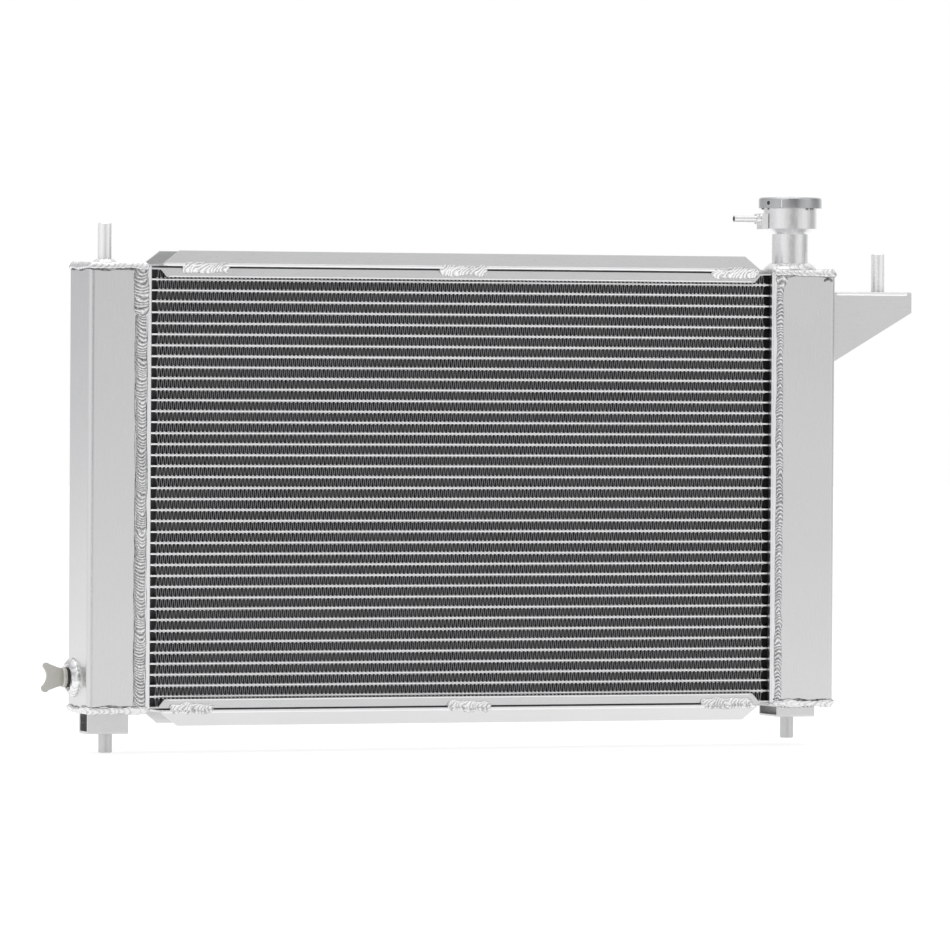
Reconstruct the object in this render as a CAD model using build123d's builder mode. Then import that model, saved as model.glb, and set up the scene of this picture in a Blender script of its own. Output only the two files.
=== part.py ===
"""Crossflow aluminium car radiator with welded tanks, pin mounts, a wing drain
plug and a bayonet pressure cap.

Frame: millimetres, +Z up, +X to the right seen from the front, +Y to the rear.
The origin lies midway between the two lower mounting pins, in the plane of the
left foot's underside, at mid depth.
"""
from build123d import *
import math
import os

os.makedirs("parts", exist_ok=True)

# ---------------------------------------------------------------- dimensions
core_x = 4.0            # X of the core's centre
core_z = 224.0          # Z of the core's centre
half_depth = 30.0       # tanks, headers and channels are 60 deep

# tubes and fins
tube_count = 39
tube_pitch = 10.0
tube_height = 2.0
tube_width = 22.0
tube_wall = 0.4
tube_from = -313.0
tube_to = 308.0
tube_row_y = 12.0       # row centres at -12 and +12
fin_rows = 40
fin_height = 7.9
fin_depth = 46.0
fin_from = -301.0
fin_to = 297.5
fin_legs = 40
fin_thickness = 0.35

# headers
left_face = -308.0      # core side of each header plate
right_face = 303.0
header_wall = 2.0
header_rim = 10.0       # depth of the header pan
body_half_height = 200.5

# tanks
tank_face = 368.0       # outer face of each tank, from the core's centre
tank_wall = 2.5
tank_bend = 5.0
cap_plate = 3.0         # end cap plate thickness

# side plates and shroud channels
side_web = 1.5
side_half_depth = 27.0
channel_gap = 1.5
channel_wall = 2.0
channel_half_depth = 30.0
channel_tip = 216.4     # outer edge of the flanges, from the core's centre
channel_from = -298.0
channel_to = 291.0
channel_tip_from = -281.8
channel_tip_to = 275.2

# mounting pins
pin_r = 6.35
pin_chamfer = 0.8

# hose necks
inlet_r = 15.875
outlet_r = 19.05
neck_wall = 2.5
neck_step = 0.8         # the spigot in the tank's wall is this much smaller
inlet_out = 64.0        # rear end of each neck
outlet_out = 72.0
inlet_at = (-336.5, 150.0)
outlet_at = (340.0, -150.0)

# filler
filler_x = 333.2
filler_r = 17.1
filler_wall = 2.5
cup_r = 25.1
cup_wall = 1.5

# drain
drain_y = 12.0
drain_z = -173.0


def gx(x):
    """X in the part's frame of a distance from the core's centre."""
    return core_x + x


def gz(z):
    """Z in the part's frame of a height from the core's centre."""
    return core_z + z


def save(part, name):
    part.label = name
    export_step(part, "parts/" + name + ".step")


tube_levels = [gz((i - (tube_count - 1) / 2) * tube_pitch) for i in range(tube_count)]
fin_levels = [gz((i - (fin_rows - 1) / 2) * tube_pitch) for i in range(fin_rows)]

# ---------------------------------------------------------------- core tubes
with BuildPart() as front_row_tubes:
    with BuildSketch(Plane.YZ.offset(gx(tube_from))):
        with Locations(*[(-tube_row_y, z) for z in tube_levels]):
            SlotOverall(tube_width, tube_height)
            SlotOverall(tube_width - 2 * tube_wall, tube_height - 2 * tube_wall, mode=Mode.SUBTRACT)
    extrude(amount=tube_to - tube_from)
save(front_row_tubes.part, "front_row_tubes")

with BuildPart() as rear_row_tubes:
    with BuildSketch(Plane.YZ.offset(gx(tube_from))):
        with Locations(*[(tube_row_y, z) for z in tube_levels]):
            SlotOverall(tube_width, tube_height)
            SlotOverall(tube_width - 2 * tube_wall, tube_height - 2 * tube_wall, mode=Mode.SUBTRACT)
    extrude(amount=tube_to - tube_from)
save(rear_row_tubes.part, "rear_row_tubes")

# ---------------------------------------------------------------- fins
# Each row is one strip folded into a zigzag between the tubes above and below.
leg_run = (fin_to - fin_from) / fin_legs
leg_len = math.hypot(leg_run, fin_height)
leg_band = fin_thickness * leg_len / leg_run     # vertical height of a leg's section
leg_rise = fin_height - leg_band


def fin_outline(z):
    low, high = [], []
    for i in range(fin_legs + 1):
        x = gx(fin_from + i * leg_run)
        mid = z + (leg_rise / 2 if i % 2 else -leg_rise / 2)
        low.append((x, mid - leg_band / 2))
        high.append((x, mid + leg_band / 2))
    return low + high[::-1]


with BuildPart() as cooling_fins:
    with BuildSketch(Plane.XZ.offset(-fin_depth / 2)):
        for level in fin_levels:
            with BuildLine():
                Polyline(*fin_outline(level), close=True)
            make_face()
    extrude(amount=fin_depth)
save(cooling_fins.part, "cooling_fins")


# ---------------------------------------------------------------- headers
def face_x(side):
    return right_face if side > 0 else left_face


def header(side):
    """Shallow pan with one slot for each tube; its rim faces the tank."""
    inner = face_x(side)
    outer = inner + side * header_rim
    mid = (inner + outer) / 2
    with BuildPart() as pan:
        with BuildSketch(Plane.XY.offset(gz(-body_half_height))):
            with Locations((gx(mid), 0)):
                Rectangle(header_rim, 2 * half_depth)
        extrude(amount=2 * body_half_height)
        fillet(
            pan.edges().filter_by(Axis.Z).group_by(Axis.X)[0 if side > 0 else -1],
            radius=2.0,
        )
        with BuildSketch(Plane.XY.offset(gz(-body_half_height + header_wall))):
            with Locations((gx(mid + side * header_wall / 2), 0)):
                Rectangle(header_rim - header_wall, 2 * (half_depth - header_wall))
        extrude(amount=2 * (body_half_height - header_wall), mode=Mode.SUBTRACT)
        with BuildSketch(Plane.YZ.offset(gx(mid - header_rim))):
            with Locations(*[(y, z) for y in (-tube_row_y, tube_row_y) for z in tube_levels]):
                SlotOverall(tube_width, tube_height)
        extrude(amount=2 * header_rim, mode=Mode.SUBTRACT)
    return pan.part


save(header(-1), "left_header")
save(header(1), "right_header")


# ---------------------------------------------------------------- side plates
def side_plate(side):
    """Thin channel over the outermost fin row, with clipped flange corners."""
    face = side * 199.0
    web = side * (199.0 + side_web)
    lip = side * 192.0
    with BuildPart() as plate:
        with BuildSketch(Plane.XZ.offset(-side_half_depth)):
            with BuildLine():
                Polyline(
                    (gx(left_face), gz(web)),
                    (gx(right_face), gz(web)),
                    (gx(right_face), gz(face)),
                    (gx(292.6), gz(face)),
                    (gx(286.2), gz(lip)),
                    (gx(-293.0), gz(lip)),
                    (gx(-299.0), gz(face)),
                    (gx(left_face), gz(face)),
                    close=True,
                )
            make_face()
        extrude(amount=2 * side_half_depth)
        with BuildSketch(Plane.YZ.offset(gx(-315))):
            with Locations((0, gz((face + lip) / 2))):
                Rectangle(2 * (side_half_depth - side_web), abs(face - lip))
        extrude(amount=630, mode=Mode.SUBTRACT)
    return plate.part


save(side_plate(1), "top_side_plate")
save(side_plate(-1), "bottom_side_plate")


# ---------------------------------------------------------------- shroud channels
def shroud_channel(side):
    """Outward facing channel with 45 degree ends, set just off the side plate."""
    base = side * (200.5 + channel_gap)
    top = side * (200.5 + channel_gap + channel_wall)
    tip = side * channel_tip
    with BuildPart() as channel:
        with BuildSketch(Plane.XZ.offset(-channel_half_depth)):
            with BuildLine():
                Polyline(
                    (gx(channel_from), gz(base)),
                    (gx(channel_to), gz(base)),
                    (gx(channel_to), gz(top)),
                    (gx(channel_tip_to), gz(tip)),
                    (gx(channel_tip_from), gz(tip)),
                    (gx(channel_from), gz(top)),
                    close=True,
                )
            make_face()
        extrude(amount=2 * channel_half_depth)
        with BuildSketch(Plane.YZ.offset(gx(-302))):
            with Locations((0, gz((top + tip) / 2 + side * 1.0))):
                Rectangle(2 * (channel_half_depth - channel_wall), abs(tip - top) + 2.0)
        extrude(amount=604, mode=Mode.SUBTRACT)
        edges = channel.edges().filter_by(Axis.X)
        low = edges.filter_by_position(Axis.Z, gz(base) - 0.1, gz(base) + 0.1)
        fillet(low, radius=1.4)
    return channel.part


save(shroud_channel(1), "top_shroud_channel")
save(shroud_channel(-1), "bottom_shroud_channel")

# Short fillet welds between a side plate's flange and the channel's web.
top_stitches = [(-256.2, 45.0), (-5.4, 47.0), (266.0, 48.0)]
bottom_stitches = [(-267.6, 42.0), (3.0, 43.0), (260.0, 52.0)]


def stitch_profile(face, side):
    yf = face * side_half_depth
    yo = face * (channel_half_depth - 0.6)
    z0 = side * 197.6
    z1 = side * (200.5 + channel_gap - 0.02)
    with BuildSketch(Plane.YZ) as prof:
        with BuildLine():
            p0 = (yf + face * 0.02, gz(z0))
            p1 = (yf + face * 0.02, gz(z1))
            p2 = (yo, gz(z1))
            bulge = (yf + face * 2.1, gz(side * 199.2))
            Line(p0, p1)
            Line(p1, p2)
            ThreePointArc(p2, bulge, p0)
        make_face()
    return prof.sketch


with BuildPart() as channel_stitch_welds:
    for side, stitches in ((1, top_stitches), (-1, bottom_stitches)):
        for cx, run in stitches:
            for face in (-1, 1):
                prof = Pos(gx(cx - run / 2), 0, 0) * stitch_profile(face, side)
                add(extrude(prof, amount=run, dir=(1, 0, 0), mode=Mode.PRIVATE))
save(channel_stitch_welds.part, "channel_stitch_welds")


# ---------------------------------------------------------------- tanks
def tank_shell(side):
    """Sheet folded to a U, open towards the header and at both ends."""
    inner = face_x(side) + side * header_rim
    outer = side * tank_face
    mid = (inner + outer) / 2
    length = abs(outer - inner)
    with BuildPart() as shell:
        with BuildSketch(Plane.XY.offset(gz(-body_half_height))) as outline:
            with Locations((gx(mid), 0)):
                Rectangle(length, 2 * half_depth)
            fillet(outline.vertices().group_by(Axis.X)[-1 if side > 0 else 0], radius=tank_bend)
        extrude(amount=2 * body_half_height)
        with BuildSketch(Plane.XY.offset(gz(-body_half_height))) as hollow:
            with Locations((gx(mid - side * tank_wall / 2), 0)):
                Rectangle(length - tank_wall, 2 * (half_depth - tank_wall))
            fillet(
                hollow.vertices().group_by(Axis.X)[-1 if side > 0 else 0],
                radius=tank_bend - tank_wall,
            )
        extrude(amount=2 * body_half_height, mode=Mode.SUBTRACT)
        if side < 0:
            # inlet hole in the rear wall, drain hole in the outer wall
            with BuildSketch(Plane.XZ.offset(-half_depth - 5)):
                with Locations((gx(inlet_at[0]), gz(inlet_at[1]))):
                    Circle(inlet_r - neck_step)
            extrude(amount=20, mode=Mode.SUBTRACT)
            with BuildSketch(Plane.YZ.offset(gx(-tank_face - 2))):
                with Locations((drain_y, gz(drain_z))):
                    Circle(6.5)
            extrude(amount=8, mode=Mode.SUBTRACT)
        else:
            with BuildSketch(Plane.XZ.offset(-half_depth - 5)):
                with Locations((gx(outlet_at[0]), gz(outlet_at[1]))):
                    Circle(outlet_r - neck_step)
            extrude(amount=20, mode=Mode.SUBTRACT)
    return shell.part


save(tank_shell(-1), "left_tank")
save(tank_shell(1), "right_tank")


def end_cap(side, z0, filler_hole=False):
    """Flat plate welded over the end of a tank and its header."""
    inner = face_x(side)
    outer = side * tank_face
    with BuildPart() as plate:
        with BuildSketch(Plane.XY.offset(gz(z0))) as outline:
            with Locations((gx((inner + outer) / 2), 0)):
                Rectangle(abs(outer - inner), 2 * half_depth)
            fillet(outline.vertices().group_by(Axis.X)[-1 if side > 0 else 0], radius=tank_bend)
            fillet(outline.vertices().group_by(Axis.X)[0 if side > 0 else -1], radius=2.0)
            if filler_hole:
                with Locations((gx(filler_x), 0)):
                    Circle(filler_r, mode=Mode.SUBTRACT)
        extrude(amount=cap_plate)
    return plate.part


save(end_cap(-1, body_half_height), "left_tank_top_cap")
save(end_cap(-1, -body_half_height - cap_plate), "left_tank_bottom_cap")
save(end_cap(1, body_half_height, filler_hole=True), "right_tank_top_cap")
save(end_cap(1, -body_half_height - cap_plate), "right_tank_bottom_cap")


# ---------------------------------------------------------------- hose necks
def hose_neck(at, r, out):
    """Straight tube seated on the tank's rear wall, with a spigot through it."""
    y0 = half_depth - tank_wall
    with BuildPart() as neck:
        with BuildSketch(Plane.XY):
            with BuildLine():
                Polyline(
                    (r - neck_wall, y0),
                    (r - neck_step, y0),
                    (r - neck_step, half_depth),
                    (r, half_depth),
                    (r, out - 0.5),
                    (r - 0.5, out),
                    (r - neck_wall, out),
                    close=True,
                )
            make_face()
        revolve(axis=Axis.Y)
    return Pos(gx(at[0]), 0, gz(at[1])) * neck.part


save(hose_neck(inlet_at, inlet_r, inlet_out), "inlet_neck")
save(hose_neck(outlet_at, outlet_r, outlet_out), "outlet_neck")

# ---------------------------------------------------------------- mounting pins
top_of_caps = gz(body_half_height + cap_plate)
foot_underside = gz(-224.0)


def stud(x, z_base, z_tip, flare=True):
    """Round pin; flare is the weld fillet at its root."""
    up = 1 if z_tip > z_base else -1
    root = pin_r + 3.2 if flare else pin_r
    with BuildPart() as pin:
        with BuildSketch(Plane.XZ):
            with BuildLine():
                pts = [(0, z_base), (root, z_base)]
                if flare:
                    pts.append((pin_r, z_base + up * 3.2))
                pts += [(pin_r, z_tip - up * pin_chamfer), (pin_r - pin_chamfer, z_tip), (0, z_tip)]
                Polyline(*pts, close=True)
            make_face()
        revolve(axis=Axis.Z)
    return Pos(x, 0, 0) * pin.part


save(stud(gx(-344.0), top_of_caps, gz(241.3)), "upper_left_pin")

bracket_top = gz(184.4)
bracket_half = 20.0
bracket_sheet = 2.5

# Folded bracket: a top plate, two tapered side cheeks and a closing end lip.
with BuildPart() as right_mount_bracket:
    with BuildSketch(Plane.XZ.offset(-bracket_half)):
        with BuildLine():
            Polyline(
                (gx(tank_face), bracket_top),
                (gx(449.5), bracket_top),
                (gx(449.5), gz(165.0)),
                (gx(tank_face), gz(117.4)),
                close=True,
            )
        make_face()
    extrude(amount=2 * bracket_half)
    fillet(
        right_mount_bracket.edges().filter_by(Axis.X).group_by(Axis.Z)[-1],
        radius=2.0,
    )
    with BuildSketch(Plane.YZ.offset(gx(tank_face - 1))):
        with Locations((0, gz(184.4 - bracket_sheet - 50))):
            Rectangle(2 * (bracket_half - bracket_sheet), 100)
    extrude(amount=80, mode=Mode.SUBTRACT)
save(right_mount_bracket.part, "right_mount_bracket")
save(stud(gx(423.3), bracket_top, gz(220.6), flare=False), "upper_right_pin")


def foot(x0, x1, half_w, z_low, wall):
    """Short piece of rectangular tube lying along X under the tank's end cap."""
    z_high = gz(-body_half_height - cap_plate)
    with BuildPart() as tube:
        with BuildSketch(Plane.YZ.offset(gx(x0))) as ring:
            with Locations((0, (z_low + z_high) / 2)):
                Rectangle(2 * half_w, z_high - z_low)
            fillet(ring.vertices(), radius=1.5)
            with Locations((0, (z_low + z_high) / 2)):
                Rectangle(2 * (half_w - wall), z_high - z_low - 2 * wall, mode=Mode.SUBTRACT)
        extrude(amount=x1 - x0)
    return tube.part


save(foot(-362.0, -323.0, 12.7, foot_underside, 2.5), "lower_left_foot")
save(foot(314.0, 352.0, 22.0, gz(-214.7), 2.0), "lower_right_foot")
save(stud(gx(-341.0), foot_underside, gz(-241.3), flare=False), "lower_left_pin")
save(stud(gx(333.0), gz(-214.7), gz(-235.2), flare=False), "lower_right_pin")


# ---------------------------------------------------------------- drain
def turned(points, x_from, y, z, direction=-1):
    """Solid of revolution about an X axis; points are (distance out, radius)."""
    with BuildPart() as body:
        with BuildSketch(Plane.XY):
            with BuildLine():
                Polyline(*[(direction * a, r) for a, r in points], close=True)
            make_face()
        revolve(axis=Axis.X)
    return Pos(x_from, y, z) * body.part


drain_face = gx(-tank_face)
drain_height = gz(drain_z)
save(
    turned(
        [(-2.5, 4.0), (-2.5, 6.5), (0, 6.5), (0, 12.5), (1.2, 12.2), (3.6, 9.75), (5.2, 9.75), (5.2, 4.0)],
        drain_face, drain_y, drain_height,
    ),
    "drain_bung",
)
save(
    turned([(5.5, 6.0), (5.5, 9.2), (5.9, 9.4), (7.1, 9.4), (7.5, 9.2), (7.5, 6.0)],
           drain_face, drain_y, drain_height),
    "drain_seal",
)

# Plug: flange, threaded shank (plain here) reaching into the bung, and a flat
# wing whose outer edge is scooped between two rounded ears.
shank_r = 3.95
with BuildPart() as drain_plug:
    with BuildSketch(Plane.XY):
        with BuildLine():
            Polyline(
                (7.6, 0), (7.6, 8.9), (8.1, 9.2), (10.4, 9.2), (11.3, 8.4), (11.3, 0), close=True,
            )
        make_face()
    revolve(axis=Axis.X)
    with BuildSketch(Plane.YZ.offset(-1.5)):
        Circle(shank_r)
    extrude(amount=9.5)
    with BuildSketch(Plane.XZ.offset(-1.6)):
        with BuildLine():
            Polyline((10.8, -7.6), (15.5, -8.6), (24.0, -11.6))
            ThreePointArc((24.0, -11.6), (29.6, -12.2), (29.4, -7.4))
            ThreePointArc((29.4, -7.4), (25.6, 0.2), (28.2, 8.4))
            ThreePointArc((28.2, 8.4), (28.0, 12.9), (23.6, 12.6))
            Polyline((23.6, 12.6), (15.5, 9.4), (10.8, 8.2))
            Line((10.8, 8.2), (10.8, -7.6))
        make_face()
    extrude(amount=3.2)
plug_part = Pos(drain_face, drain_y, drain_height) * (Rot(0, 0, 180) * drain_plug.part)
save(plug_part, "drain_plug")


# ---------------------------------------------------------------- filler
def ring_solid(points):
    """Solid of revolution about the filler's axis; points are (radius, height)."""
    with BuildPart() as body:
        with BuildSketch(Plane.XZ):
            with BuildLine():
                Polyline(*points, close=True)
            make_face()
        revolve(axis=Axis.Z)
    return body.part


def at_filler(part):
    return Pos(gx(filler_x), 0, core_z) * part


plate_top = body_half_height + cap_plate
save(
    at_filler(ring_solid([
        (filler_r - filler_wall, plate_top - cap_plate),
        (filler_r, plate_top - cap_plate),
        (filler_r, plate_top),
        (filler_r + 3.6, plate_top),
        (filler_r + 3.0, plate_top + 2.2),
        (filler_r, plate_top + 6.8),
        (filler_r, 238.0),
        (filler_r - filler_wall, 238.0),
    ])),
    "filler_tube",
)

# Filler neck: cone, cup with the seal seat at its floor, and a top flange with
# two notches that let the cap's tabs pass.
nipple_z = 252.1
seat_z = 245.0
flange_z = 266.0
flange_r = 28.3
seat_r = 13.5
with BuildPart() as filler_neck:
    with BuildSketch(Plane.XZ):
        with BuildLine():
            Polyline(
                (filler_r - filler_wall, 238.0),
                (filler_r, 238.0),
                (cup_r, 243.2),
                (cup_r, flange_z - 1.5),
                (flange_r, flange_z - 1.5),
                (flange_r, flange_z),
                (cup_r - cup_wall, flange_z),
                (cup_r - cup_wall, seat_z),
                (seat_r, seat_z),
                (seat_r, seat_z - 2.0),
                (filler_r - filler_wall, 240.0),
                close=True,
            )
        make_face()
    revolve(axis=Axis.Z)
    # two notches in the flange, front and rear
    with BuildSketch(Plane.XY.offset(flange_z - 2.5)):
        with PolarLocations(0, 2, start_angle=0):
            with BuildLine():
                a = math.radians(27)
                r0, r1 = cup_r + 0.4, flange_r + 3
                Line((r0 * math.sin(a), -r0 * math.cos(a)), (r1 * math.sin(a), -r1 * math.cos(a)))
                ThreePointArc(
                    (r1 * math.sin(a), -r1 * math.cos(a)), (0, -r1), (-r1 * math.sin(a), -r1 * math.cos(a))
                )
                Line((-r1 * math.sin(a), -r1 * math.cos(a)), (-r0 * math.sin(a), -r0 * math.cos(a)))
                ThreePointArc(
                    (-r0 * math.sin(a), -r0 * math.cos(a)), (0, -r0), (r0 * math.sin(a), -r0 * math.cos(a))
                )
            make_face()
    extrude(amount=4, mode=Mode.SUBTRACT)
    # overflow hole
    with BuildSketch(Plane.YZ.offset(-cup_r - 2)):
        with Locations((0, nipple_z)):
            Circle(2.2)
    extrude(amount=6, mode=Mode.SUBTRACT)
save(at_filler(filler_neck.part), "filler_neck")

# Overflow nipple: small block against the cup, a collar and the hose pipe.
with BuildPart() as overflow_nipple:
    with BuildSketch(Plane.XY.offset(242.6)):
        with Locations((-28.0, 0)):
            Rectangle(6.4, 13.0)
        Circle(cup_r, mode=Mode.SUBTRACT)
    extrude(amount=14.6)
    with BuildSketch(Plane.YZ.offset(-35.2)):
        with Locations((0, nipple_z)):
            Circle(5.0)
    extrude(amount=4.2)
    with BuildSketch(Plane.YZ.offset(-57.2)):
        with Locations((0, nipple_z)):
            Circle(3.2)
    extrude(amount=23.0)
    with BuildSketch(Plane.YZ.offset(-60)):
        with Locations((0, nipple_z)):
            Circle(2.2)
    extrude(amount=60, mode=Mode.SUBTRACT)
save(at_filler(overflow_nipple.part), "overflow_nipple")

# ---------------------------------------------------------------- pressure cap
shell_r = 31.7
shell_wall = 0.9
shell_low = 262.4
shell_high = 272.2

with BuildPart() as cap_shell:
    with BuildSketch(Plane.XZ):
        with BuildLine():
            Polyline(
                (2.6, shell_high - 0.9),
                (2.6, shell_high),
                (shell_r - 1.4, shell_high),
                (shell_r, shell_high - 1.4),
                (shell_r, shell_low),
                (shell_r - shell_wall, shell_low),
                (shell_r - shell_wall, shell_high - 2.0),
                (shell_r - 2.0, shell_high - 0.9),
                close=True,
            )
        make_face()
    revolve(axis=Axis.Z)
    # two locking tabs turned in under the neck's flange, left and right at rest
    with BuildSketch(Plane.XY.offset(shell_low)):
        with PolarLocations(0, 2, start_angle=0):
            with BuildLine():
                a = math.radians(21)
                r0, r1 = cup_r + 0.9, shell_r - 0.4
                Line((r0 * math.cos(a), -r0 * math.sin(a)), (r1 * math.cos(a), -r1 * math.sin(a)))
                ThreePointArc(
                    (r1 * math.cos(a), -r1 * math.sin(a)), (r1, 0), (r1 * math.cos(a), r1 * math.sin(a))
                )
                Line((r1 * math.cos(a), r1 * math.sin(a)), (r0 * math.cos(a), r0 * math.sin(a)))
                ThreePointArc(
                    (r0 * math.cos(a), r0 * math.sin(a)), (r0, 0), (r0 * math.cos(a), -r0 * math.sin(a))
                )
            make_face()
    extrude(amount=1.3)
save(at_filler(cap_shell.part), "cap_shell")

# The cap's stack hangs from the centre rivet: gasket and spring diaphragm under
# the shell, then the bell that guides the pressure spring.
save(at_filler(ring_solid([(16.0, 266.3), (29.0, 266.3), (29.0, 267.9), (16.0, 267.9)])), "cap_gasket")
save(
    at_filler(ring_solid([
        (2.6, 270.2), (2.6, 271.0), (14.0, 271.0), (20.0, 268.8), (29.5, 268.8), (29.5, 268.0), (19.8, 268.0), (13.8, 270.2),
    ])),
    "cap_diaphragm",
)
save(
    at_filler(ring_solid([
        (2.6, 269.0), (2.6, 270.0), (13.2, 270.0), (14.6, 268.6), (14.6, 259.0), (13.6, 259.0), (13.6, 268.2), (12.8, 269.0),
    ])),
    "cap_bell",
)
save(
    at_filler(ring_solid([
        (0, 267.8), (4.4, 267.8), (4.4, 268.9), (2.5, 268.9), (2.5, 272.3), (4.6, 272.3), (4.2, 273.1), (0, 273.4),
    ])),
    "cap_rivet",
)

# Pressure spring between the bell and the pressure plate.
spring_wire = 0.85
plate_top_z = 248.8
spring_low = plate_top_z + spring_wire + 0.05
spring_high = 269.0 - spring_wire - 0.05
with BuildPart() as pressure_spring:
    with BuildLine() as coil:
        Helix(pitch=(spring_high - spring_low) / 5, height=spring_high - spring_low, radius=11.8)
    with BuildSketch(Plane(origin=coil.line @ 0, z_dir=coil.line % 0)):
        Circle(spring_wire)
    sweep()
save(at_filler(Pos(0, 0, spring_low) * pressure_spring.part), "pressure_spring")

# Pressure plate with an upturned rim that centres the spring.
save(
    at_filler(ring_solid([
        (2.0, 247.3), (16.4, 247.3), (16.4, 248.3), (15.2, 248.8), (2.0, 248.8),
    ])),
    "pressure_plate",
)
save(at_filler(ring_solid([(7.0, 245.3), (16.6, 245.3), (16.6, 247.3), (7.0, 247.3)])), "pressure_seal")

# Vacuum valve: disc under the plate, stem through it and a head for its spring.
save(
    at_filler(ring_solid([
        (0, 245.6), (5.8, 245.6), (5.8, 246.9), (1.95, 246.9), (1.95, 255.0), (4.2, 255.0), (4.2, 256.0), (0, 256.0),
    ])),
    "vacuum_valve",
)
vac_wire = 0.35
vac_low = 248.8 + vac_wire + 0.05
vac_high = 255.0 - vac_wire - 0.05
with BuildPart() as vacuum_spring:
    with BuildLine() as vac_coil:
        Helix(pitch=(vac_high - vac_low) / 4, height=vac_high - vac_low, radius=3.2)
    with BuildSketch(Plane(origin=vac_coil.line @ 0, z_dir=vac_coil.line % 0)):
        Circle(vac_wire)
    sweep()
save(at_filler(Pos(0, 0, vac_low) * vacuum_spring.part), "vacuum_spring")
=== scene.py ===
import bpy
import math
import numpy as np
from mathutils import Vector, Matrix


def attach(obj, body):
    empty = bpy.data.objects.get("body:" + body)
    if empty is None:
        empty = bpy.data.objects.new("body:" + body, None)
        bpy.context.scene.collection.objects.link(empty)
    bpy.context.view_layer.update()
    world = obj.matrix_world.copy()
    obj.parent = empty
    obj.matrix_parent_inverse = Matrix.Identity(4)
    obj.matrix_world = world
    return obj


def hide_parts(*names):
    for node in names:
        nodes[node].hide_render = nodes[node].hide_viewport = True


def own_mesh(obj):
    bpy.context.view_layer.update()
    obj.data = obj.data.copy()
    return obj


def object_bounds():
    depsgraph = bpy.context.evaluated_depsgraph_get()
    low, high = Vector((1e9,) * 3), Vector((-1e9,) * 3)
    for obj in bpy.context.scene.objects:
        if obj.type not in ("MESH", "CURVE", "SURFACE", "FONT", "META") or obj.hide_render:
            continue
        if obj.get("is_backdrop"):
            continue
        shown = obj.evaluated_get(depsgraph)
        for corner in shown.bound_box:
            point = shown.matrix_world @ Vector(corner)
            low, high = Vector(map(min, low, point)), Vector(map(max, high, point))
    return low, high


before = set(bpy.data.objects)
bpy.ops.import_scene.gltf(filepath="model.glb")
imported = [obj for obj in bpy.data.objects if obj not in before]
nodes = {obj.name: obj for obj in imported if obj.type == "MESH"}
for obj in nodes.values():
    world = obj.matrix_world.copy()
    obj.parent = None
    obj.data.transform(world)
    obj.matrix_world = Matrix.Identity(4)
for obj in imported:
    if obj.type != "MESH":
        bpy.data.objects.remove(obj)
cad_box = [list(map(float, c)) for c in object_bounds()]
scene = bpy.context.scene

# --------------------------------------------------------------------------
# Camera: long lens, turned 20.8 degrees to the left side of the radiator.
# --------------------------------------------------------------------------
yaw, pitch, roll = math.radians(20.813), math.radians(0.844), math.radians(0.348)
right0 = Vector((math.cos(yaw), -math.sin(yaw), 0))
forward = Vector((math.sin(yaw) * math.cos(pitch), math.cos(yaw) * math.cos(pitch), -math.sin(pitch)))
up0 = Vector((math.sin(yaw) * math.sin(pitch), math.cos(yaw) * math.sin(pitch), math.cos(pitch)))
right = math.cos(roll) * right0 + math.sin(roll) * up0
up = -math.sin(roll) * right0 + math.cos(roll) * up0
cam_data = bpy.data.cameras.new("camera")
cam = bpy.data.objects.new("camera", cam_data)
scene.collection.objects.link(cam)
basis = Matrix((right, up, -forward)).transposed().to_4x4()
cam.matrix_world = Matrix.Translation((-2.62607, -6.96609, 0.34549)) @ basis
cam_data.lens = 304.84
cam_data.sensor_width = 36.0
cam_data.clip_start = 0.1
cam_data.clip_end = 60.0
scene.camera = cam

# --------------------------------------------------------------------------
# Part's frame: core centre at (0.004, 0, 0.224), mid depth at Y = 0.
# --------------------------------------------------------------------------
CX, CZ = 0.004, 0.224


def P(x, y, z):
    """Point from millimetres measured off the core's centre."""
    return np.array([CX + x * 0.001, y * 0.001, CZ + z * 0.001])


# --------------------------------------------------------------------------
# Materials
# --------------------------------------------------------------------------
def new_mat(name):
    m = bpy.data.materials.new(name)
    m.use_nodes = True
    nt = m.node_tree
    for n in list(nt.nodes):
        nt.nodes.remove(n)
    out = nt.nodes.new("ShaderNodeOutputMaterial")
    bsdf = nt.nodes.new("ShaderNodeBsdfPrincipled")
    nt.links.new(bsdf.outputs["BSDF"], out.inputs["Surface"])
    return m, nt, bsdf


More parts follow.
